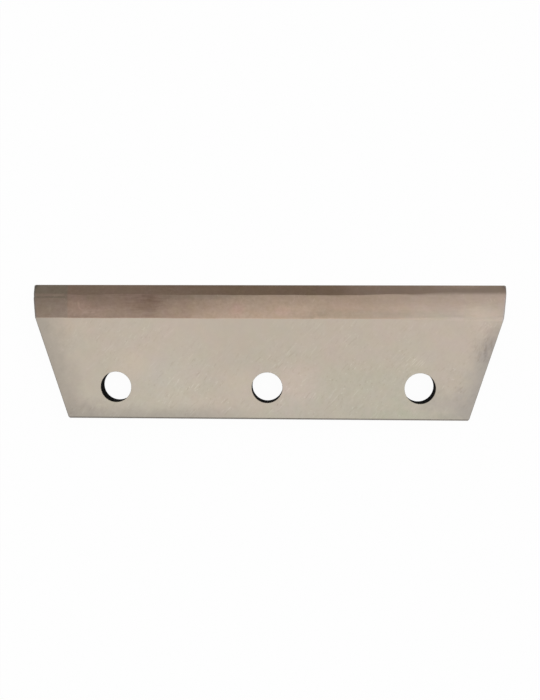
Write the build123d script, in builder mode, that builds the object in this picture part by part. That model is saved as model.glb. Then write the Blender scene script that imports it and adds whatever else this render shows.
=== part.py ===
"""Chipper knife: one ground steel bar with a double-bevelled cutting edge and a row of bolt holes.

Millimetres, +Z up. The knife lies flat on its back face, the one that seats on the knife holder.
X runs along the cutting edge, and +Y points from the rear edge to the cutting edge. The origin is
the centre of the middle bolt hole, on the back face.
"""

import os
from math import radians, tan

from build123d import *

# Bar
edge_length = 270.0  # along the cutting edge, tip to tip
knife_width = 76.2  # rear edge to cutting edge
thickness = 9.525

# Ends, planes that slant in plan and are undercut through the thickness
end_slant = 17.3  # degrees from square to the cutting edge
end_undercut = 17.6  # degrees from upright

# Cutting edge, a main bevel that ends in a steeper and narrower edge bevel
main_bevel_angle = 22.7  # degrees from the back face
edge_bevel_angle = 37.6  # degrees from the back face
edge_bevel_height = 4.0  # where the two bevels meet, above the back face
edge_land = 0.15  # blunt strip that honing leaves at the cutting edge

# Bolt holes, in one row along the rear edge
bolt_hole_diameter = 17.5
bolt_hole_count = 3
bolt_hole_pitch = 86.5
bolt_row_inset = 18.35  # rear edge to the centres of the holes

# Tips, where the cutting edge meets the ends, each dulled by a small facet
tip_inset = 0.8  # from the tip along the cutting edge
tip_rise = 42.0  # degrees that the facet's normal stands above the back face
tip_swing = 25.6  # degrees that the facet's normal turns outward from square to the edge

# Broken edges
rear_chamfer = 0.8  # long rear edge of the front face
end_chamfer = 0.4  # ends of the front face and the bevels, and the upright rear corners
back_chamfer = 0.25  # back face, all but its cutting edge
hole_chamfer = 0.25  # both rims of each bolt hole

# Places across the width, worked out from the sizes above
rear_y = -bolt_row_inset
edge_y = rear_y + knife_width
edge_bevel_y = edge_y - (edge_bevel_height - edge_land) / tan(radians(edge_bevel_angle))
heel_y = edge_bevel_y - (thickness - edge_bevel_height) / tan(radians(main_bevel_angle))
saw_allowance = thickness  # stock past each tip, which the end cuts take off

# Cutting planes, facing outward, for the left and the right end
end_planes = []
tip_planes = []
for side in (-1, 1):
    tip = (side * edge_length / 2, edge_y, 0)
    end_normal = (side, -tan(radians(end_slant)), -tan(radians(end_undercut)))
    end_planes.append(Plane(origin=tip, z_dir=end_normal))
    facet_start = (side * (edge_length / 2 - tip_inset), edge_y, 0)
    facet_normal = Vector(0, 1, 0).rotate(Axis.X, tip_rise).rotate(Axis.Z, -side * tip_swing)
    tip_planes.append(Plane(origin=facet_start, z_dir=facet_normal))

os.makedirs("parts", exist_ok=True)

with BuildPart() as knife:
    # Ground section, the same all along the bar
    with BuildSketch(Plane.YZ) as section:
        with BuildLine():
            Polyline(
                (rear_y, 0),
                (edge_y, 0),
                (edge_y, edge_land),
                (edge_bevel_y, edge_bevel_height),
                (heel_y, thickness),
                (rear_y, thickness),
                close=True,
            )
        make_face()
        rear_corners = section.vertices().group_by(Axis.X)[0]
        chamfer(rear_corners.sort_by(Axis.Y)[-1], rear_chamfer)
    extrude(amount=edge_length / 2 + saw_allowance, both=True)

    # Each end: its cut, its tip facet and its broken edges
    for end_plane, tip_plane in zip(end_planes, tip_planes):
        split(bisect_by=end_plane, keep=Keep.BOTTOM)
        split(bisect_by=tip_plane, keep=Keep.BOTTOM)
        end_edges = knife.faces().filter_by(end_plane).edges()
        facet_edges = knife.faces().filter_by(tip_plane).edges()
        back_edges = knife.faces().sort_by(Axis.Z)[0].edges()
        chamfer(end_edges - facet_edges - back_edges, end_chamfer)

    # Broken edges of the back face, clear of the land and the tip facets
    back_edges = knife.faces().sort_by(Axis.Z)[0].edges()
    sharp_edges = knife.faces().sort_by(Axis.Y)[-1].edges()
    for tip_plane in tip_planes:
        sharp_edges += knife.faces().filter_by(tip_plane).edges()
    chamfer(back_edges - sharp_edges, back_chamfer)

    # Bolt holes
    with GridLocations(bolt_hole_pitch, bolt_hole_pitch, bolt_hole_count, 1):
        Hole(bolt_hole_diameter / 2)
    chamfer(knife.edges().filter_by(GeomType.CIRCLE), hole_chamfer)

knife.part.label = "knife"
export_step(knife.part, "parts/knife.step")
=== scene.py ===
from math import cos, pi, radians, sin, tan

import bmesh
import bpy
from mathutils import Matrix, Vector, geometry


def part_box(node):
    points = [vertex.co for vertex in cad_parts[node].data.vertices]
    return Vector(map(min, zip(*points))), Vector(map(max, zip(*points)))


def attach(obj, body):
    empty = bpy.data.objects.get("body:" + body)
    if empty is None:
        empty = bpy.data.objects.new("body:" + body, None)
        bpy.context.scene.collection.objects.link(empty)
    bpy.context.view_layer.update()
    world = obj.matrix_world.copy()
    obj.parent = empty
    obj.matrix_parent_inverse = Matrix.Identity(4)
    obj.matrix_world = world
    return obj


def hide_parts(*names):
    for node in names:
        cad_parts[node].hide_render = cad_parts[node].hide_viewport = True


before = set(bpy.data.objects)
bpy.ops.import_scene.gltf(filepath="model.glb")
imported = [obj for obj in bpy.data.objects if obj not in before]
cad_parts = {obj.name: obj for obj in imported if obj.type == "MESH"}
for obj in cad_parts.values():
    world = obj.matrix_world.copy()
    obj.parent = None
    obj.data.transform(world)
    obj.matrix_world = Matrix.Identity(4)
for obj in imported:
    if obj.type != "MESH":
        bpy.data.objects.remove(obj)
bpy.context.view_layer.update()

# Looks for the chipper knife: ground steel with its grinding marks, lying on a pale studio floor.
# Lengths are metres in the row frame, and millimetres inside the materials. +X runs along the
# cutting edge, +Y points to it, and the origin is the centre of the middle bolt hole, on the back.

MM = 0.001

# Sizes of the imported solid
cad_low, cad_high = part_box("knife")
rear_y, edge_y, thickness = cad_low.y, cad_high.y, cad_high.z
edge_length = 270 * MM
end_slant = radians(17.3)
end_undercut = radians(17.6)
main_bevel_angle = radians(22.7)
edge_bevel_angle = radians(37.6)
edge_bevel_height = 4.0 * MM
edge_land = 0.15 * MM
rear_chamfer = 0.8 * MM
back_chamfer = 0.25 * MM
hole_chamfer = 0.25 * MM
hole_radius = 8.75 * MM
hole_pitch = 86.5 * MM
hole_centres = [Vector((k * hole_pitch, 0)) for k in (-1, 0, 1)]
tip_inset = 0.8 * MM
tip_rise = radians(42.0)
tip_swing = radians(25.6)

line_y = edge_y - (edge_bevel_height - edge_land) / tan(edge_bevel_angle)
heel_y = line_y - (thickness - edge_bevel_height) / tan(main_bevel_angle)

# Broken edges: how far their rounding reaches from the corner. Both lines of the bevels are rounded
# more at the worn right end, growing over a stretch of X, in millimetres
edge_rounding = 0.2 * MM
end_rounding = 0.45 * MM
worn_line_rounding = 1.7 * MM
worn_heel_rounding = 1.3 * MM
line_wear_x = (62, 104)
heel_wear_x = (60, 124)

# Marks of the grinding. The lowest strip of the main bevel is a groove, ground twice, at the left end
bevel_crown = 0.12 * MM
groove_end_x = -114.8 * MM
groove_fade = 2.5 * MM
groove_line_forward = 0.1 * MM
groove_line_drop = 0.4 * MM
bevel_shares = [k / 10 for k in range(1, 9)]
groove_shares = (0.1, 0.2, 0.35, 0.5, 0.65, 0.78, 0.855, 0.915)
groove_drops = [0] * 6 + [0.02 * MM, 0.32 * MM]

# How far the line between the bevels and the heel line leave their places, and the stretches of X
# over which that comes and goes again, in millimetres
past_left = (-150, -140)
past_right = (140, 150)
line_set_back = ((0.4, past_left, (-99, -91)), (0.42, (-72, -50), (54, 66)))
line_forward = ((0.22, (62, 69), (76, 84)), (0.95, (80, 103), past_right))
line_cross_x = (62, 69)
heel_set_back = ((0.03, past_left, past_right), (0.14, (-50, -34), (56, 62)))

# Small waves of both lines: height, length over a radian and phase
line_waves = ((0.07, 7, 0), (0.05, 2.3, 1))
heel_waves = ((-0.06, 9, 0), (-0.04, 3.1, 0))

# Mesh: steps along the bar and round its curves, spacing on its flat faces, and what counts as equal
bar_steps = 180
rounding_steps = 6
rim_steps = 4
hole_segments = 72
face_spacing = 6 * MM
clear_of_hole = 3 * MM
clear_of_end = 4 * MM
clear_of_heel = 3 * MM
tolerance = 1e-6
same_place = 1e-7
same_way = 0.9999


def ease(value, start, stop):
    """0 before start, 1 after stop, and a smooth rise between them."""
    rise = min(max((value - start) / (stop - start), 0.0), 1.0)
    return rise * rise * (3 - 2 * rise)


def blend(low, high, share):
    return low + (high - low) * share


def offset_at(x, rows):
    """Sum of the offsets at x: how large each is, and the stretches where it comes and goes."""
    return sum(size * MM * ease(x / MM, *comes) * (1 - ease(x / MM, *goes)) for size, comes, goes in rows)


def waves_at(x, waves):
    return sum(height * MM * sin(x / (length * MM) + phase) for height, length, phase in waves)


def half_length(y, z):
    """Distance from the middle of the knife to its slanted and undercut end planes."""
    return edge_length / 2 - tan(end_slant) * (edge_y - y) + tan(end_undercut) * z


def near_hole(spot, margin):
    """Whether a place in plan is within that margin of a bolt hole."""
    return any((spot - centre).length < hole_radius + margin for centre in hole_centres)


def rounded(before, corner, after, reach):
    """Points that round a corner, starting and stopping that far from it."""
    start = corner + (before - corner).normalized() * reach
    stop = corner + (after - corner).normalized() * reach
    shares = [step / rounding_steps for step in range(rounding_steps + 1)]
    return [start.lerp(corner, share).lerp(corner.lerp(stop, share), share) for share in shares]


def bevel_line(x):
    """Where the two bevels meet at x, which wanders a little, as hand grinding leaves it."""
    on_main = Vector((line_y - offset_at(x, line_set_back) + waves_at(x, line_waves), 0))
    on_main.y = edge_bevel_height + (line_y - on_main.x) * tan(main_bevel_angle)
    front = offset_at(x, line_forward)
    on_edge = Vector((line_y + front, edge_bevel_height - front * tan(edge_bevel_angle)))
    return on_main.lerp(on_edge, ease(x / MM, *line_cross_x))


def heel_line(x):
    """Where the main bevel starts at x, set back a little along the middle of the knife."""
    return heel_y - offset_at(x, heel_set_back) + waves_at(x, heel_waves)


def across_bevel(heel, line, groove):
    """Points across the main bevel, slightly crowned, with as much of the groove as there is here."""
    across = (line - heel).normalized()
    outward = Vector((-across.y, across.x))
    points = []
    for bevel_share, groove_share, drop in zip(bevel_shares, groove_shares, groove_drops):
        share = blend(bevel_share, groove_share, groove)
        point = heel.lerp(line, share) + outward * (bevel_crown * 4 * share * (1 - share))
        points.append(point - Vector((0, drop * groove)))
    return points


def section(x):
    """The outline across the knife at x, as (y, z) points, from the rear bottom corner over the front."""
    groove = 1 - ease(x, groove_end_x - groove_fade, groove_end_x)
    line_rounding = blend(edge_rounding, worn_line_rounding, ease(x / MM, *line_wear_x))
    heel_rounding = blend(edge_rounding, worn_heel_rounding, ease(x / MM, *heel_wear_x))
    rear_top = Vector((rear_y, thickness - rear_chamfer))
    face_rear = Vector((rear_y + rear_chamfer, thickness))
    heel = Vector((heel_line(x), thickness))
    line = bevel_line(x)
    groove_line = Vector((line_y + groove_line_forward, edge_bevel_height - groove_line_drop))
    land_top = Vector((edge_y, edge_land))
    bevel = across_bevel(heel, line, groove)
    line = line.lerp(groove_line, groove)

    points = [Vector((rear_y, back_chamfer))]
    points += rounded(points[-1], rear_top, face_rear, edge_rounding)
    points += rounded(rear_top, face_rear, heel, edge_rounding)
    points += rounded(face_rear, heel, bevel[0], heel_rounding)
    points += bevel
    points += rounded(bevel[-1], line, land_top, line_rounding)
    points += [land_top, Vector((edge_y, 0)), Vector((rear_y + back_chamfer, 0))]
    return points


def swept_bar():
    """The bar without its holes, swept along X between the end planes."""
    bm = bmesh.new()
    near_groove = [2 * (groove_end_x - groove_fade * k) / edge_length for k in (0, 0.25, 0.5, 0.75, 1)]
    stations = sorted([-1 + 2 * k / bar_steps for k in range(bar_steps + 1)] + near_groove)
    rings = []
    for station in stations:
        outline = section(station * edge_length / 2)
        rings.append([bm.verts.new((station * half_length(y, z), y, z)) for y, z in outline])
    for left, right in zip(rings, rings[1:]):
        for here in range(len(left)):
            after = (here + 1) % len(left)
            bm.faces.new((left[here], left[after], right[after], right[here]))
    for ring in (rings[0], rings[-1]):
        bm.faces.new(ring)
    bmesh.ops.recalc_face_normals(bm, faces=bm.faces)
    return bm


def is_end(face):
    """Whether a face lies in one of the end planes."""
    normal = Vector((1, -tan(end_slant), -tan(end_undercut))).normalized()
    return Vector((abs(face.normal.x), face.normal.y, face.normal.z)).dot(normal) > same_way


def dull_tips(bm):
    """Cuts the small facet off each tip."""
    facets = []
    for side in (-1, 1):
        start = Vector((side * (edge_length / 2 - tip_inset), edge_y, 0))
        aside = side * sin(tip_swing) * cos(tip_rise)
        normal = Vector((aside, cos(tip_swing) * cos(tip_rise), sin(tip_rise)))
        cut = bmesh.ops.bisect_plane(
            bm, geom=bm.verts[:] + bm.edges[:] + bm.faces[:], plane_co=start, plane_no=normal,
            dist=same_place, clear_outer=True)
        edges = [made for made in cut["geom_cut"] if isinstance(made, bmesh.types.BMEdge)]
        facets += bmesh.ops.holes_fill(bm, edges=edges)["faces"]
    return facets


def round_ends(bm, facets):
    """Rounds the edges of the end faces, apart from the blunt strip at the cutting edge and the tips."""
    sharp = set(edge for face in facets for edge in face.edges)
    edges = []
    for edge in [edge for face in bm.faces if is_end(face) for edge in face.edges]:
        on_land = all(vert.co.y > edge_y - tolerance for vert in edge.verts)
        on_back = all(vert.co.z <= tolerance for vert in edge.verts)
        if edge not in sharp and not on_land and not on_back:
            edges.append(edge)
    bmesh.ops.bevel(bm, geom=edges, offset=end_rounding, offset_type="OFFSET", segments=3,
                    profile=0.5, affect="EDGES", clamp_overlap=False)


def hole_rings(bm):
    """Rings down each bolt hole, from the rim on the front face to the rim on the back face."""
    profile = []
    for step in range(rim_steps + 1):
        turn = pi / 2 * step / rim_steps
        radius = hole_radius + hole_chamfer * (1 - sin(turn))
        profile.append((radius, thickness - hole_chamfer * (1 - cos(turn))))
    profile += [(radius, thickness - z) for radius, z in reversed(profile)]
    turns = [2 * pi * k / hole_segments for k in range(hole_segments)]
    holes = []
    for centre in hole_centres:
        rings = []
        for radius, z in profile:
            rings.append([bm.verts.new((centre.x + radius * cos(turn), centre.y + radius * sin(turn), z))
                          for turn in turns])
        for upper, lower in zip(rings, rings[1:]):
            for here in range(hole_segments):
                after = (here + 1) % hole_segments
                bm.faces.new((upper[here], upper[after], lower[after], lower[here]))
        holes.append((rings[0], rings[-1]))
    return holes


def loop_of(edges):
    """The vertices of one closed loop of edges, in order."""
    links = {}
    for edge in edges:
        for vert in edge.verts:
            links.setdefault(vert, []).append(edge.other_vert(vert))
    start = edges[0].verts[0]
    loop, last, here = [start], None, start
    while True:
        step = [vert for vert in links[here] if vert is not last][0]
        if step is start:
            return loop
        loop.append(step)
        last, here = here, step


def even_spots(low, high, z):
    """Places on a grid over a flat face, clear of its border and its bolt holes."""
    spots = []
    for i in range(1, int((high.x - low.x) / face_spacing)):
        for j in range(1, int((high.y - low.y) / face_spacing)):
            spot = Vector((low.x + i * face_spacing, low.y + j * face_spacing))
            off_end = abs(spot.x) < half_length(spot.y, z) - clear_of_end
            if off_end and high.y - spot.y > clear_of_heel and not near_hole(spot, clear_of_hole):
                spots.append(spot)
    return spots


def reface(bm, z, rims):
    """Replaces a flat face by even triangles around the bolt holes."""
    flat = [face for face in bm.faces
            if abs(face.normal.z) > same_way and abs(face.calc_center_median().z - z) < tolerance
            and face.calc_area() > MM * MM]
    inside = set(flat)
    edges = [edge for face in flat for edge in face.edges]
    border = loop_of([edge for edge in edges if sum(face in inside for face in edge.link_faces) == 1])
    bmesh.ops.delete(bm, geom=flat, context="FACES_ONLY")
    bmesh.ops.delete(bm, geom=[edge for edge in bm.edges if not edge.link_faces], context="EDGES")

    known, links = [], []
    for loop in [border] + rims:
        links += [(len(known) + k, len(known) + (k + 1) % len(loop)) for k in range(len(loop))]
        known += loop
    rim_of = {vert: k for k, rim in enumerate(rims) for vert in rim}
    spots = [vert.co.to_2d() for vert in known]
    low = Vector([min(spot[axis] for spot in spots) for axis in (0, 1)])
    high = Vector([max(spot[axis] for spot in spots) for axis in (0, 1)])
    spots += even_spots(low, high, z)
    made, _, faces, origins, _, _ = geometry.delaunay_2d_cdt(spots, links, [], 1, same_place)
    verts = []
    for spot, origin in zip(made, origins):
        kept = [known[k] for k in origin if k < len(known)]
        verts.append(kept[0] if kept else bm.verts.new((spot.x, spot.y, z)))
    for face in faces:
        corners = [verts[k] for k in face]
        in_hole = corners[0] in rim_of and len({rim_of.get(vert) for vert in corners}) == 1
        if not in_hole:
            bm.faces.new(corners)


def build_knife():
    bm = swept_bar()
    facets = dull_tips(bm)
    round_ends(bm, facets)
    holes = hole_rings(bm)
    reface(bm, thickness, [upper for upper, _ in holes])
    reface(bm, 0.0, [lower for _, lower in holes])
    bmesh.ops.recalc_face_normals(bm, faces=bm.faces)
    for vert in bm.verts:
        vert.co = [min(max(at, low), high) for at, low, high in zip(vert.co, cad_low, cad_high)]
    return bm


# Photograph's view, from almost straight above
camera_data = bpy.data.cameras.new("photo_camera")
camera_data.lens = 43.594
camera_data.sensor_width = 36.0
camera_data.clip_start = 0.01
camera = bpy.data.objects.new("photo_camera", camera_data)
camera.location = Vector((20.35, 72.9, 485.7)) * MM
camera.rotation_euler = [radians(turn) for turn in (-6.145, 2.247, 0.018)]
bpy.context.scene.collection.objects.link(camera)
bpy.context.scene.camera = camera


class Nodes:
    """Short calls that build a node tree."""

    soft = (0.15, 1.3)

    def __init__(self, node_tree):
        self.node_tree = node_tree
        node_tree.nodes.clear()

    def node(self, kind, inputs=(), output=0, **settings):
        """Adds a node; inputs are (socket, value or socket of another node) pairs."""
        made = self.node_tree.nodes.new(kind)
        for name, value in settings.items():
            setattr(made, name, value)
        for socket, value in inputs:
            if isinstance(value, bpy.types.NodeSocket):
                self.node_tree.links.new(value, made.inputs[socket])
            else:
                made.inputs[socket].default_value = value
        return made.outputs[output] if made.outputs else made

    def math(self, operation, *values):
        return self.node("ShaderNodeMath", list(enumerate(values)), operation=operation)

    def chain(self, operation, first, *others):
        """One operation of two values after another, along a row of them."""
        for other in others:
            first = self.math(operation, first, other)
        return first

    def vector(self, operation, *values, output=0):
        return self.node("ShaderNodeVectorMath", list(enumerate(values)), output, operation=operation)

    def times(self, vector, share):
        """A colour or place times one number."""
        return self.node("ShaderNodeVectorMath", [(0, vector), (3, share)], operation="SCALE")

    def parts(self, vector):
        """The three parts of a vector."""
        return self.node("ShaderNodeSeparateXYZ", [(0, vector)]).node.outputs

    def span(self, value, low, high, start=0.0, stop=1.0):
        """Eases from start to stop while the value goes from low to high."""
        values = list(enumerate((value, low, high, start, stop)))
        return self.node("ShaderNodeMapRange", values, interpolation_type="SMOOTHSTEP")

    def mix(self, factor, one, other):
        inputs = [("Factor", factor), (6, one), (7, other)]
        return self.node("ShaderNodeMix", inputs, output=2, data_type="RGBA")

    def tones(self, value, colour, turns):
        """A colour that turns into the next over each span of the value: from, to, and which colour."""
        for low, high, other in turns:
            colour = self.mix(self.span(value, low, high), colour, other)
        return colour

    def scaled(self, colour, *shares):
        """A colour with its brightness times each of the shares."""
        for share in shares:
            colour = self.times(colour, share)
        return colour

    def marked(self, colour, amount, balance):
        """A colour with marks: how much lighter they are, times a share for each channel."""
        return self.vector("MULTIPLY_ADD", colour, self.times(balance, amount), colour)

    def noise(self, vector, scale, detail=3.0, roughness=0.5, shift=0):
        """Noise of 0 to 1; another shift along X gives another noise of the same kind."""
        if shift:
            vector = self.vector("ADD", vector, (shift, 0, 0))
        inputs = [("Vector", vector), ("Scale", scale), ("Detail", detail), ("Roughness", roughness)]
        return self.node("ShaderNodeTexNoise", inputs)

    def centred(self, value, size):
        """Turns a noise of 0 to 1 into one about zero."""
        return self.math("MULTIPLY_ADD", value, size, -size / 2)

    def clouded(self, spot, colour, clouds, detail, spread):
        """Tints a colour in soft clouds: shift and scale of each noise, and its two tints."""
        for shift, scale, one, other in clouds:
            cloud = self.noise(spot, scale, detail, shift=shift)
            tint = self.mix(self.span(cloud, 0.5 - spread, 0.5 + spread), one, other)
            colour = self.vector("MULTIPLY", colour, tint)
        return colour

    def turned(self, vector, degrees, scale):
        """Coordinates along and across a direction in plan, each times its scale."""
        turn = self.node("ShaderNodeMapping", [("Vector", vector), ("Rotation", (0, 0, radians(-degrees)))])
        return self.vector("MULTIPLY", turn, (*scale, 0))

    def outwards(self, spot, centre, radii):
        """0 at the centre of an ellipse, 1 on its outline, and more beyond it."""
        offset = self.vector("SUBTRACT", spot, (*centre, 0))
        offset = self.vector("MULTIPLY", offset, (1 / radii[0], 1 / radii[1], 0))
        return self.vector("LENGTH", offset, output=1)

    def patch(self, spot, place, wander, edge=soft):
        """1 inside an ellipse and 0 outside, with a soft edge that wanders in and out."""
        far = self.math("ADD", self.outwards(spot, *place), wander)
        return self.span(far, *edge, 1.0, 0.0)

    def tinted_patches(self, spot, colour, wander, patches, edge=soft):
        """Tints a colour in patches: where, how wide, and the share of red, green and blue left."""
        for centre, radii, tint in patches:
            mask = self.patch(spot, (centre, radii), wander, edge)
            colour = self.mix(mask, colour, self.vector("MULTIPLY", colour, tint))
        return colour

    def ring(self, spot, place, wander, width):
        """1 on the outline of an ellipse, and fading to 0 beside it."""
        beside = self.math("SUBTRACT", self.outwards(spot, *place), 1.0)
        return self.span(self.math("ABSOLUTE", self.math("ADD", beside, wander)), 0.0, width, 1.0, 0.0)

    def strokes(self, spot, *kinds):
        """Short straight marks, one in some of the cells of a stretched pattern, of several kinds.

        A kind is its direction in degrees, the length and width of a cell, half the width of a mark
        and the share of the cells that have one. A mark is up to 0.94 of its cell long.
        """
        return self.chain("MAXIMUM", *[self.strokes_of_kind(spot, *kind) for kind in kinds])

    def strokes_of_kind(self, spot, degrees, length, gap, half_width, share):
        cells = self.turned(spot, degrees, (1 / length, 1 / gap))
        pattern = self.node("ShaderNodeTexVoronoi", [("Vector", cells), ("Scale", 1.0)],
                            voronoi_dimensions="2D").node
        offset = self.vector("SUBTRACT", cells, pattern.outputs["Position"])
        along, across, _ = self.parts(self.vector("MULTIPLY", offset, (length, gap, 0)))
        reach, chance, _ = self.parts(pattern.outputs["Color"])
        reach = self.math("MULTIPLY_ADD", reach, 0.35 * length, 0.12 * length)
        along = self.span(self.math("DIVIDE", self.math("ABSOLUTE", along), reach), 0.5, 1.0, 1.0, 0.0)
        across = self.span(self.math("ABSOLUTE", across), 0.0, half_width, 1.0, 0.0)
        return self.chain("MULTIPLY", along, across, self.math("LESS_THAN", chance, share))

    def steel(self, colour, rough, height, strength, depth):
        """Inputs of the shader for bare steel with a fine relief."""
        relief = self.relief(height, strength, depth)
        return [("Base Color", colour), ("Metallic", 1.0), ("Roughness", rough), ("Normal", relief)]

    def relief(self, height, strength, depth):
        inputs = [("Height", height), ("Strength", strength), ("Distance", depth)]
        return self.node("ShaderNodeBump", inputs)


def linear(red, green, blue):
    """A colour from its 0 to 255 values."""
    return tuple(((v / 255 + 0.055) / 1.055) ** 2.4 for v in (red, green, blue)) + (1.0,)


def finish_material(name, look):
    """A material whose look gets the place on the knife, in millimetres."""
    material = bpy.data.materials.new(name)
    material.use_nodes = True
    tree = Nodes(material.node_tree)
    spot = tree.times(tree.node("ShaderNodeTexCoord", output=3), 1 / MM)
    bsdf = tree.node("ShaderNodeBsdfPrincipled", look(tree, spot))
    tree.node("ShaderNodeOutputMaterial", [("Surface", bsdf)])
    return material


# Face: each stain, and each painted highlight, is its centre, its radii and the share of red, green
# and blue left; a cloud is the shift and scale of its noise, and its two tints
face_stains_and_highlights = (
    ((-76, 13), (13, 9), (1.06, 1.05, 1.03)),
    ((-50, 4), (24, 15), (1.03, 1.03, 1.04)),
    ((-62, 10), (11, 10), (0.985, 0.995, 1.02)),
    ((-37, -2), (20, 7), (0.99, 1.005, 0.985)),
    ((-20, -9), (50, 9), (1.045, 1.03, 1.03)),
    # These two lighter patches, round the middle hole and right of it, are painted highlight
    ((-15, 3), (11, 10), (1.065, 1.06, 1.045)),
    ((17, 3), (17, 12), (1.085, 1.055, 1.055)),
    ((60, 3), (24, 20), (0.985, 1.005, 0.99)),
    ((79, 0), (10, 14), (0.985, 1.003, 1.0)),
    ((15, -6), (17, 14), (1.01, 1.0, 1.03)),
    ((99, 20), (22, 11), (0.998, 0.998, 1.012)),
    ((84, 14), (7, 5), (1.03, 1.03, 1.0)),
    ((-112, 25), (13, 9), (0.98, 1.0, 0.99)),
    ((-119, 34), (13, 8), (1.02, 0.995, 0.98)),
    ((84, -16), (28, 4), (0.96, 1.005, 0.975)),
    ((103, -9), (15, 9), (0.91, 0.91, 0.94)),
    ((-103, -12), (9, 6), (0.9, 0.88, 0.9)),
    ((-121, 9), (5, 10), (1.03, 1.05, 1.05)),
    ((-112, -6), (6, 10), (1.015, 0.995, 1.0)),
    ((121.5, 37), (6, 3), (1.05, 1.06, 1.06)),
    ((130, 34), (4, 4), (0.9, 0.92, 0.93)),
    ((-113, -17), (7, 2.2), (0.92, 0.92, 0.93)),
    ((-53, -17.5), (12, 1.8), (1.05, 1.05, 1.04)),
    ((102, -17), (12, 2.6), (0.95, 0.95, 0.96)),
)
end_stain = ((125, 27), (7, 12), (0.92, 0.91, 0.93))
end_streak = ((122.6, 22.5), (1.1, 8), (0.86, 0.85, 0.86))
face_clouds = (
    (0, 0.04, (1.01, 0.996, 1.0, 1), (0.99, 1.004, 0.996, 1)),
    (170, 0.1, (1.007, 0.997, 1.003, 1), (0.994, 1.003, 0.996, 1)),
    (340, 0.13, (1.002, 1.002, 0.991, 1), (0.998, 0.999, 1.008, 1)),
)

# Scratches: places with many and with few of them, as centres and radii, and their kinds of strokes
busy_places = (
    ((-45, 0), (30, 20)),
    ((-33, -10), (34, 7)),
    ((50, 2), (28, 19)),
    ((82, 14), (14, 9)),
    ((8, -4), (24, 12)),
    ((24, 2), (14, 16)),
    ((105, 6), (16, 16)),
)
quiet_places = (((-16, 33), (50, 15)), ((-110, 12), (16, 15)))
light_strokes = (
    (50, 10.0, 3.4, 0.42, 0.18),
    (44, 15.0, 6.0, 0.4, 0.2),
    (58, 5.0, 2.8, 0.46, 0.18),
    (30, 1.8, 1.7, 0.5, 0.12),
)
dark_strokes = (
    (54, 5.0, 2.4, 0.46, 0.22),
    (44, 9.0, 3.6, 0.42, 0.2),
    (66, 2.2, 1.9, 0.5, 0.14),
)
hatch_strokes, hatch_place = (52, 5.0, 1.2, 0.4, 0.8), ((120, 24), (9, 14))
bundle_strokes, bundle_place = (46, 9.0, 1.1, 0.36, 0.6), ((81, 14), (11, 8))
smudge_place = ((121.5, 23), (7, 9))


def face_tone(tree, spot, x, y, wander):
    """Ground face: warm near the bevel, cooler towards the rear, with faint clouds."""
    colour = tree.mix(tree.span(y, -16, 38), linear(187, 178, 164), linear(189, 177, 163))
    colour = tree.clouded(spot, colour, face_clouds, detail=2.0, spread=0.12)
    left = tree.span(x, -62, -12, 1.05, 1.0)
    return tree.scaled(tree.tinted_patches(spot, colour, wander, face_stains_and_highlights), left)


def painted_shade_at_edges(tree, spot, x, y, small, colour):
    """Painted shade: turns a colour darker and greyer towards both ends and the rear."""
    slope = tree.math("MULTIPLY_ADD", y, tan(end_slant), half_length(0, thickness) / MM)
    from_left = tree.chain("ADD", slope, x, tree.centred(small, 14))
    from_right = tree.math("ADD", tree.math("SUBTRACT", slope, x), tree.centred(small, 10))
    from_rear = tree.chain("ADD", y, -rear_y / MM, tree.centred(small, 6))
    left_side = tree.span(from_left, 0, 20, 1.0, 0.0)
    right_side = tree.math("MULTIPLY", tree.span(from_right, 0, 15, 0.75, 0.0),
                           tree.span(y, 22, 36, 1.0, 0.0))
    rear_side = tree.math("MULTIPLY", tree.span(from_rear, 0, 10, 0.65, 0.0),
                          tree.span(x, -50, 5, 1.0, 0.1))
    colour = tree.mix(left_side, colour, linear(173, 164, 152))
    colour = tree.mix(right_side, colour, linear(162, 156, 149))
    return tree.mix(rear_side, colour, linear(158, 151, 142))


def busy_share(tree, spot, wander):
    """How much the face is scratched: thick in some places and rare in others."""
    busy = tree.span(tree.noise(spot, 0.045, 2.0), 0.4, 0.6, 0.3, 0.7)
    for place in busy_places:
        busy = tree.math("MAXIMUM", busy, tree.patch(spot, place, wander))
    for place in quiet_places:
        quiet = tree.math("MULTIPLY_ADD", tree.patch(spot, place, wander), -0.95, 1.0)
        busy = tree.math("MULTIPLY", busy, quiet)
    return busy


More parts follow.
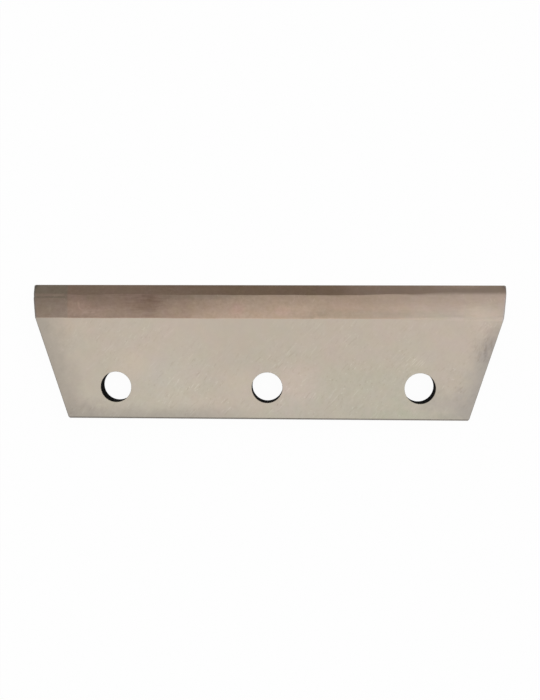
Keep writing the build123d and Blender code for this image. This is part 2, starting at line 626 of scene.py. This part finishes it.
def face_look(tree, spot):
    """Ground face, greyer near its ends and rear by painted shade, with fine slanting scratches."""
    x, y, _ = tree.parts(spot)
    small = tree.noise(spot, 0.16, 4.0, 0.6)
    wander = tree.centred(small, 1.8)
    colour = painted_shade_at_edges(tree, spot, x, y, small, face_tone(tree, spot, x, y, wander))
    colour = tree.tinted_patches(spot, colour, wander, [end_stain])
    colour = tree.tinted_patches(spot, colour, tree.centred(tree.noise(spot, 0.5, 3.0), 2.6), [end_streak])

    # Short scratches at several angles, in clumps
    busy = busy_share(tree, spot, wander)
    clumps = tree.span(tree.noise(spot, 0.14, 3.0, shift=90), 0.4, 0.58, 0.4, 1.0)
    clump = tree.math("MULTIPLY", busy, clumps)
    light = tree.math("MULTIPLY", tree.strokes(spot, *light_strokes), clump)
    dark = tree.math("MULTIPLY", tree.strokes(spot, *dark_strokes), clump)
    hatch = tree.strokes(spot, hatch_strokes)
    hatch = tree.math("MULTIPLY", hatch, tree.patch(spot, hatch_place, wander))
    bundle = tree.strokes(spot, bundle_strokes)
    bundle = tree.math("MULTIPLY", bundle, tree.patch(spot, bundle_place, wander))
    smudge = tree.span(tree.noise(tree.turned(spot, 82, (0.3, 1.0)), 0.7, 3.0, 0.6), 0.45, 0.62)
    smudge = tree.math("MULTIPLY", smudge, tree.patch(spot, smudge_place, wander))

    # Soft blotches and grain along the scratches
    blotch = tree.noise(tree.turned(spot, 50, (0.7, 1.0)), 0.26, 2.0, 0.6)
    mottle = tree.noise(tree.turned(spot, 52, (0.62, 1.0)), 0.6, 3.0, 0.65)
    grain = tree.noise(tree.turned(spot, 50, (0.3, 1.0)), 1.1, 3.0, 0.6)
    marks = tree.math("MULTIPLY", tree.math("ADD", tree.centred(mottle, 0.19), tree.centred(blotch, 0.11)),
                      tree.math("MULTIPLY_ADD", busy, 0.92, 0.08))
    for mark, share in ((light, 0.16), (dark, -0.15), (bundle, 0.17), (hatch, -0.1), (smudge, -0.12)):
        marks = tree.math("MULTIPLY_ADD", mark, share, marks)
    colour = tree.scaled(colour, tree.span(small, 0.3, 0.7, 0.98, 1.02))
    colour = tree.marked(colour, marks, (0.84, 1.02, 1.19))
    rough = tree.math("MULTIPLY_ADD", small, 0.1, 0.33)
    height = tree.math("MULTIPLY_ADD", tree.math("ADD", light, dark), -0.6, grain)
    return tree.steel(colour, rough, height, 0.15, 0.02 * MM)


# Bevels: the colours along each of them, and their stains. Their darkness, most at the left, is
# partly their own browner tint and partly painted shade
main_turns = ((-76, -16, linear(187, 165, 146)), (45, 95, linear(192, 173, 158)))
edge_turns = (
    (-60, -15, linear(139, 118, 100)),
    (25, 62, linear(157, 136, 121)),
    (65, 105, linear(163, 144, 129)),
)
bevel_stains = (
    ((-123, 46), (7, 7), (1.03, 1.035, 1.02)),
    ((-88, 50), (7, 4.5), (0.975, 0.995, 0.98)),
    ((-102.5, 51), (3, 3.5), (0.97, 0.99, 0.97)),
    ((-46, 46), (12, 6), (1.0, 1.0, 0.965)),
    ((-99, 51), (9, 2.4), (0.9, 0.91, 0.89)),
    ((-108, 46), (7, 6), (1.1, 1.09, 1.1)),
    ((-97, 43), (15, 4), (1.08, 1.07, 1.07)),
    ((-113.5, 43.5), (4.5, 6), (1.05, 1.05, 1.05)),
    ((-88, 42), (36, 3.5), (1.015, 1.05, 1.055)),
    ((-80, 51.5), (7, 2.8), (0.955, 0.945, 0.945)),
    ((-107, 40.2), (9, 0.9), (0.93, 0.93, 0.93)),
    ((-44, 51.8), (30, 2.6), (0.87, 0.89, 0.89)),
    ((-42, 48), (26, 8), (0.94, 0.94, 0.95)),
    ((5, 52.4), (50, 1.3), (0.94, 0.95, 0.95)),
    ((-17, 44), (5, 4.5), (1.05, 0.99, 1.03)),
    ((10, 43.5), (5, 3.5), (1.09, 1.04, 1.07)),
    ((22, 45), (11, 2.5), (1.05, 1.06, 1.05)),
    ((56, 48), (16, 5), (0.97, 0.97, 0.98)),
    ((55, 41.5), (42, 3.2), (0.86, 0.9, 0.91)),
    ((31, 43), (7, 4), (0.93, 0.93, 0.93)),
    ((22, 40.3), (6, 1.4), (0.93, 0.93, 0.93)),
    ((57, 42), (9, 3), (1.03, 1.03, 1.04)),
    ((78, 42), (9, 3), (0.97, 0.97, 0.97)),
    ((-17, 51.5), (16, 2.8), (0.945, 0.95, 0.95)),
    ((41, 52.4), (8, 1.4), (0.92, 0.92, 0.93)),
)
streaky_stains = (
    ((-66, 50.8), (9, 3.6), (0.88, 0.85, 0.84)),
    ((-69, 47), (9, 6), (0.87, 0.85, 0.84)),
    ((-68, 49), (17, 7), (0.93, 0.92, 0.91)),
)
folds = (
    ((-103, 46.2), (3.7, 4.5), (1.035, 1.03, 1.03)),
    ((-96, 46), (3.2, 4), (0.97, 0.97, 0.97)),
    ((-98.3, 50), (3.2, 2), (1.05, 1.05, 1.04)),
    ((-101.6, 50.4), (0.6, 1.7), (1.07, 1.07, 1.07)),
    ((-112.3, 47.5), (1.7, 2.7), (1.04, 1.03, 1.03)),
    ((-96.5, 43.8), (4, 0.8), (1.05, 1.05, 1.05)),
    ((-89, 44), (5, 0.5), (1.04, 1.035, 1.035)),
    ((-124, 45), (0.8, 2.5), (1.04, 1.045, 1.045)),
    ((-104, 52.2), (3, 0.7), (0.93, 0.93, 0.93)),
    ((-82, 52.2), (3, 0.6), (0.93, 0.92, 0.92)),
    ((-76, 46.5), (4.5, 3), (1.03, 1.02, 1.02)),
)
light_wedge = ((119, 41.6), (13, 5.5), (1.17, 1.13, 1.11))
edge_stains = (
    ((-62, 56), (25, 3), (0.95, 0.945, 0.945)),
    ((-38, 57.7), (36, 1.7), (0.92, 0.9, 0.895)),
    ((48, 56), (11, 3), (0.96, 0.955, 0.955)),
    ((106, 57.6), (16, 1.6), (1.08, 1.08, 1.09)),
    ((114, 57.2), (14, 1.6), (1.09, 1.09, 1.08)),
)
# Darker patches at both tips of the cutting edge
dark_tips = (
    ((-134, 57.2), (2.4, 2.0), (0.72, 0.74, 0.78)),
    ((134, 57.0), (2.2, 1.6), (0.8, 0.82, 0.86)),
)
ring_place = ((-101, 47.7), (7.1, 5.4))
bevel_clouds = (
    (500, 0.16, (1.0, 1.0, 0.98, 1), (1.0, 1.0, 1.02, 1)),
    (300, 0.12, (1.01, 0.996, 1.0, 1), (0.994, 1.004, 0.99, 1)),
)
dab_strokes = ((62, 4.0, 2.0, 0.4, 0.1), (115, 2.6, 1.8, 0.45, 0.1))


def ring_share(tree, spot, x, y, small):
    """The arc-shaped mark near the left end, broken in places and open towards the edge."""
    ring = tree.ring(spot, ring_place, tree.centred(small, 0.5), width=0.13)
    broken = tree.span(small, 0.38, 0.52, 0.1, 1.0)
    opened = tree.span(tree.math("MULTIPLY_ADD", x, 0.4, y), 4.0, 9.0, 1.0, 0.0)
    return tree.chain("MULTIPLY", ring, broken, opened)


def main_tone(tree, spot, shift, small, streaks, ground_twice):
    """Main bevel, brown at the left and grey at the right, where it runs into the face."""
    x, y, _ = tree.parts(spot)
    wander = tree.centred(small, 1.4)
    # Darker and browner towards the left: partly the steel's own tint, partly painted shade
    colour = tree.tones(shift, linear(163, 140, 125), main_turns)
    colour = tree.mix(ground_twice, colour, linear(157, 139, 125))
    colour = tree.tinted_patches(spot, colour, wander, bevel_stains)
    colour = tree.tinted_patches(spot, colour, tree.centred(streaks, 1.3), streaky_stains)
    colour = tree.tinted_patches(spot, colour, tree.centred(small, 0.9), folds, edge=(0.6, 1.05))
    colour = tree.scaled(colour, tree.span(y, 40, 53, 1.06, 0.9), tree.span(x, 94, 116, 1.0, 1.05))
    ring = ring_share(tree, spot, x, y, small)
    colour = tree.scaled(colour, tree.math("MULTIPLY_ADD", ring, 0.15, 1.0))

    # Towards the right end the face's own tone comes up from the heel, with a light wedge
    lifted = tree.math("SUBTRACT", y, tree.span(x, 95, 130, 0.0, 4.0))
    faded = tree.math("MULTIPLY", tree.span(x, 62, 108), tree.span(lifted, 40, 47, 1.0, 0.0))
    colour = tree.mix(faded, colour, face_tone(tree, spot, x, y, wander))
    above_heel = tree.span(y, 38.8, 41.8, 1.2, 0.0)
    return tree.tinted_patches(spot, colour, tree.math("ADD", tree.centred(small, 0.5), above_heel), [light_wedge])


def near_end(tree, spot):
    """1 beside the end planes, and 0 from 1.5 mm inside them."""
    x, y, z = tree.parts(spot)
    slope = tree.math("MULTIPLY_ADD", y, tan(end_slant), half_length(0, 0) / MM)
    slope = tree.math("MULTIPLY_ADD", z, tan(end_undercut), slope)
    inside = tree.math("SUBTRACT", slope, tree.math("ABSOLUTE", x))
    return tree.span(inside, 0.5, 1.5, 1.0, 0.0)


def bevel_look(tree, spot):
    """Ground bevels: browner and darker, most of all towards the left end and on the edge bevel."""
    x, y, _ = tree.parts(spot)
    tilt = tree.parts(tree.node("ShaderNodeNewGeometry", output=1))[1]
    cloud = tree.noise(spot, 0.07, 3.0)
    small = tree.noise(spot, 0.3, 4.0, 0.6)
    streaks = tree.noise(tree.vector("MULTIPLY", spot, (0.13, 1.0, 0.3)), 1.0, 2.0)
    shift = tree.math("ADD", x, tree.centred(cloud, 40))
    ground_twice = tree.span(tree.math("MULTIPLY_ADD", y, 0.1, x), -110.0, -109.2, 1.0, 0.0)
    main = main_tone(tree, spot, shift, small, streaks, ground_twice)
    edge = tree.tones(shift, linear(148, 127, 111), edge_turns)
    edge = tree.mix(ground_twice, edge, linear(142, 129, 114))
    edge = tree.tinted_patches(spot, edge, tree.centred(cloud, 0.8), edge_stains)
    # Edge bevel, picked by its tilt: darker, partly its own tone and partly painted shade
    colour = tree.mix(tree.span(tilt, 0.44, 0.58), main, edge)
    colour = tree.tinted_patches(spot, colour, tree.centred(small, 0.6), dark_tips)
    rim = tree.mix(tree.span(x, -10, 10), (0.82, 0.9, 1.02, 1), (0.98, 1.0, 1.1, 1))
    colour = tree.mix(near_end(tree, spot), colour, tree.vector("MULTIPLY", colour, rim))
    colour = tree.clouded(spot, colour, bevel_clouds, detail=3.0, spread=0.15)

    # Mottling, streaks along the bevel, and faint dabs across it
    mottle = tree.noise(tree.vector("MULTIPLY", spot, (0.7, 1.2, 1.0)), 0.35, 4.0, 0.7)
    grain = tree.noise(tree.vector("MULTIPLY", spot, (1.0, 0.1, 0.1)), 1.3, 3.0, 0.6)
    fleck = tree.noise(spot, 0.6, 1.0, shift=70)
    speck = tree.noise(spot, 1.8, 2.0, 0.6)
    streaky = tree.math("ADD", tree.span(x, -62, -40, 0.1, 0.03), tree.span(x, 30, 80, 0.0, 0.07))
    marks = tree.chain(
        "ADD",
        tree.math("MULTIPLY", tree.centred(mottle, 1.0), tree.span(x, -10, 60, 0.32, 0.21)),
        tree.math("MULTIPLY", tree.centred(fleck, 1.0), tree.span(x, 20, 85, 0.19, 0.05)),
        tree.math("MULTIPLY", tree.centred(streaks, 1.0), streaky),
        tree.centred(speck, 0.03),
        tree.centred(grain, 0.03))
    dab_share = tree.span(cloud, 0.35, 0.65, 0.3, 1.0)
    dab_share = tree.math("MULTIPLY", dab_share, tree.span(y, 46, 51.5, 0.7, 1.7))
    dabs = tree.math("MULTIPLY", tree.strokes(spot, *dab_strokes), dab_share)
    colour = tree.marked(colour, tree.math("MULTIPLY_ADD", dabs, 0.1, marks), (0.88, 1.02, 1.12))
    rough = tree.math("MULTIPLY_ADD", small, 0.1, 0.28)
    return tree.steel(colour, rough, tree.math("ADD", grain, speck), 0.15, 0.02 * MM)


def side_look(tree, spot):
    """Ends, rear face and broken edges, darker than the ground faces."""
    x, _, _ = tree.parts(spot)
    small = tree.noise(spot, 0.4, 4.0, 0.6)
    streaks = tree.noise(tree.vector("MULTIPLY", spot, (0.05, 0.05, 1.0)), 3.0, 3.0)
    colour = tree.mix(tree.span(small, 0.35, 0.65), linear(136, 130, 122), linear(148, 141, 133))
    colour = tree.mix(tree.span(streaks, 0.4, 0.6, 0.0, 0.35), colour, linear(122, 116, 109))
    colour = tree.scaled(colour, tree.span(x, 10, 90, 1.0, 1.2))
    rough = tree.math("MULTIPLY_ADD", small, 0.15, 0.4)
    return tree.steel(colour, rough, streaks, 0.2, 0.03 * MM)


def bore_look(tree, spot):
    """Bolt holes, black with the scale of the hardening, and darker still by painted shade."""
    small = tree.noise(spot, 0.8, 4.0, 0.6)
    colour = tree.mix(tree.span(small, 0.3, 0.7), (0.002, 0.002, 0.002, 1), (0.005, 0.004, 0.004, 1))
    return [("Base Color", colour), ("Metallic", 0.0), ("Roughness", 0.95), ("Specular IOR Level", 0.04),
            ("Normal", tree.relief(small, 0.3, 0.05 * MM))]


# Materials, in the order of their places on the mesh, and where one changes into the next
FACE, BEVEL, SIDE, BORE = range(4)
looks = (
    ("ground_face", face_look),
    ("ground_bevel", bevel_look),
    ("dark_sides", side_look),
    ("bore_scale_and_shade", bore_look),
)
bevel_starts_y = heel_y - 2 * MM
bore_margin = 0.01 * MM
rim_margin = 1 * MM
smooth_below = radians(7)


def finish_of(face):
    """Which material a face has, by where it lies and which way it looks."""
    centre = face.calc_center_median()
    flat = abs(face.normal.z) > same_way
    if near_hole(centre.to_2d(), bore_margin) and not flat:
        return BORE
    if flat and min(centre.z, thickness - centre.z) < tolerance:
        return FACE
    if centre.y > bevel_starts_y and face.normal.z > 0.5 and abs(face.normal.x) < 0.2:
        return BEVEL
    if near_hole(centre.to_2d(), rim_margin):
        return FACE
    return SIDE


def add_object(name, bm):
    """Puts a finished mesh into the scene."""
    mesh = bpy.data.meshes.new(name)
    bm.to_mesh(mesh)
    bm.free()
    made = bpy.data.objects.new(name, mesh)
    bpy.context.scene.collection.objects.link(made)
    return made


bm = build_knife()
for face in bm.faces:
    face.material_index = finish_of(face)
    face.smooth = True
for edge in bm.edges:
    edge.smooth = edge.calc_face_angle() < smooth_below
knife = add_object("ground_knife", bm)
for name, look in looks:
    knife.data.materials.append(finish_material(name, look))
weighted = knife.modifiers.new("normals", "WEIGHTED_NORMAL")
weighted.keep_sharp = True
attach(knife, "root")
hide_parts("knife")

# Floor, white in the picture, with the knife's faint shadow
floor_radius = 12.0
floor_gap = 0.02 * MM
shadow_share = 0.04
bm = bmesh.new()
bmesh.ops.create_circle(bm, cap_ends=True, segments=64, radius=floor_radius)
floor = add_object("floor", bm)
floor.location.z = -floor_gap
floor_material = bpy.data.materials.new("floor_white")
floor_material.use_nodes = True
tree = Nodes(floor_material.node_tree)
paths = tree.node("ShaderNodeLightPath").node.outputs
seen = tree.chain("MAXIMUM", paths["Is Camera Ray"], paths["Is Glossy Ray"], paths["Is Transmission Ray"])
seen = tree.math("MULTIPLY", seen, 1 - shadow_share)
lit = tree.node("ShaderNodeBsdfDiffuse", [("Color", (0.9, 0.9, 0.9, 1))])
glow = tree.node("ShaderNodeEmission", [("Color", (1, 1, 1, 1)), ("Strength", 1.0)])
surface = tree.node("ShaderNodeMixShader", [(0, seen), (1, lit), (2, glow)])
tree.node("ShaderNodeOutputMaterial", [("Surface", surface)])
floor.data.materials.append(floor_material)

# Light: one dome, bright above and to the right, and dimmer towards the horizon
bright_side = (0.40, -0.15, 0.904)
world = bpy.data.worlds.new("studio")
bpy.context.scene.world = world
world.use_nodes = True
tree = Nodes(world.node_tree)
direction = tree.node("ShaderNodeTexCoord", output=0)
nearness = tree.vector("DOT_PRODUCT", direction, bright_side, output=1)
strength = tree.span(nearness, 0.3, 0.75, 0.5, 1.04)
background = tree.node("ShaderNodeBackground", [("Color", (1, 1, 1, 1)), ("Strength", strength)])
tree.node("ShaderNodeOutputWorld", [("Surface", background)])

scene = bpy.context.scene
scene.view_settings.view_transform = "Standard"
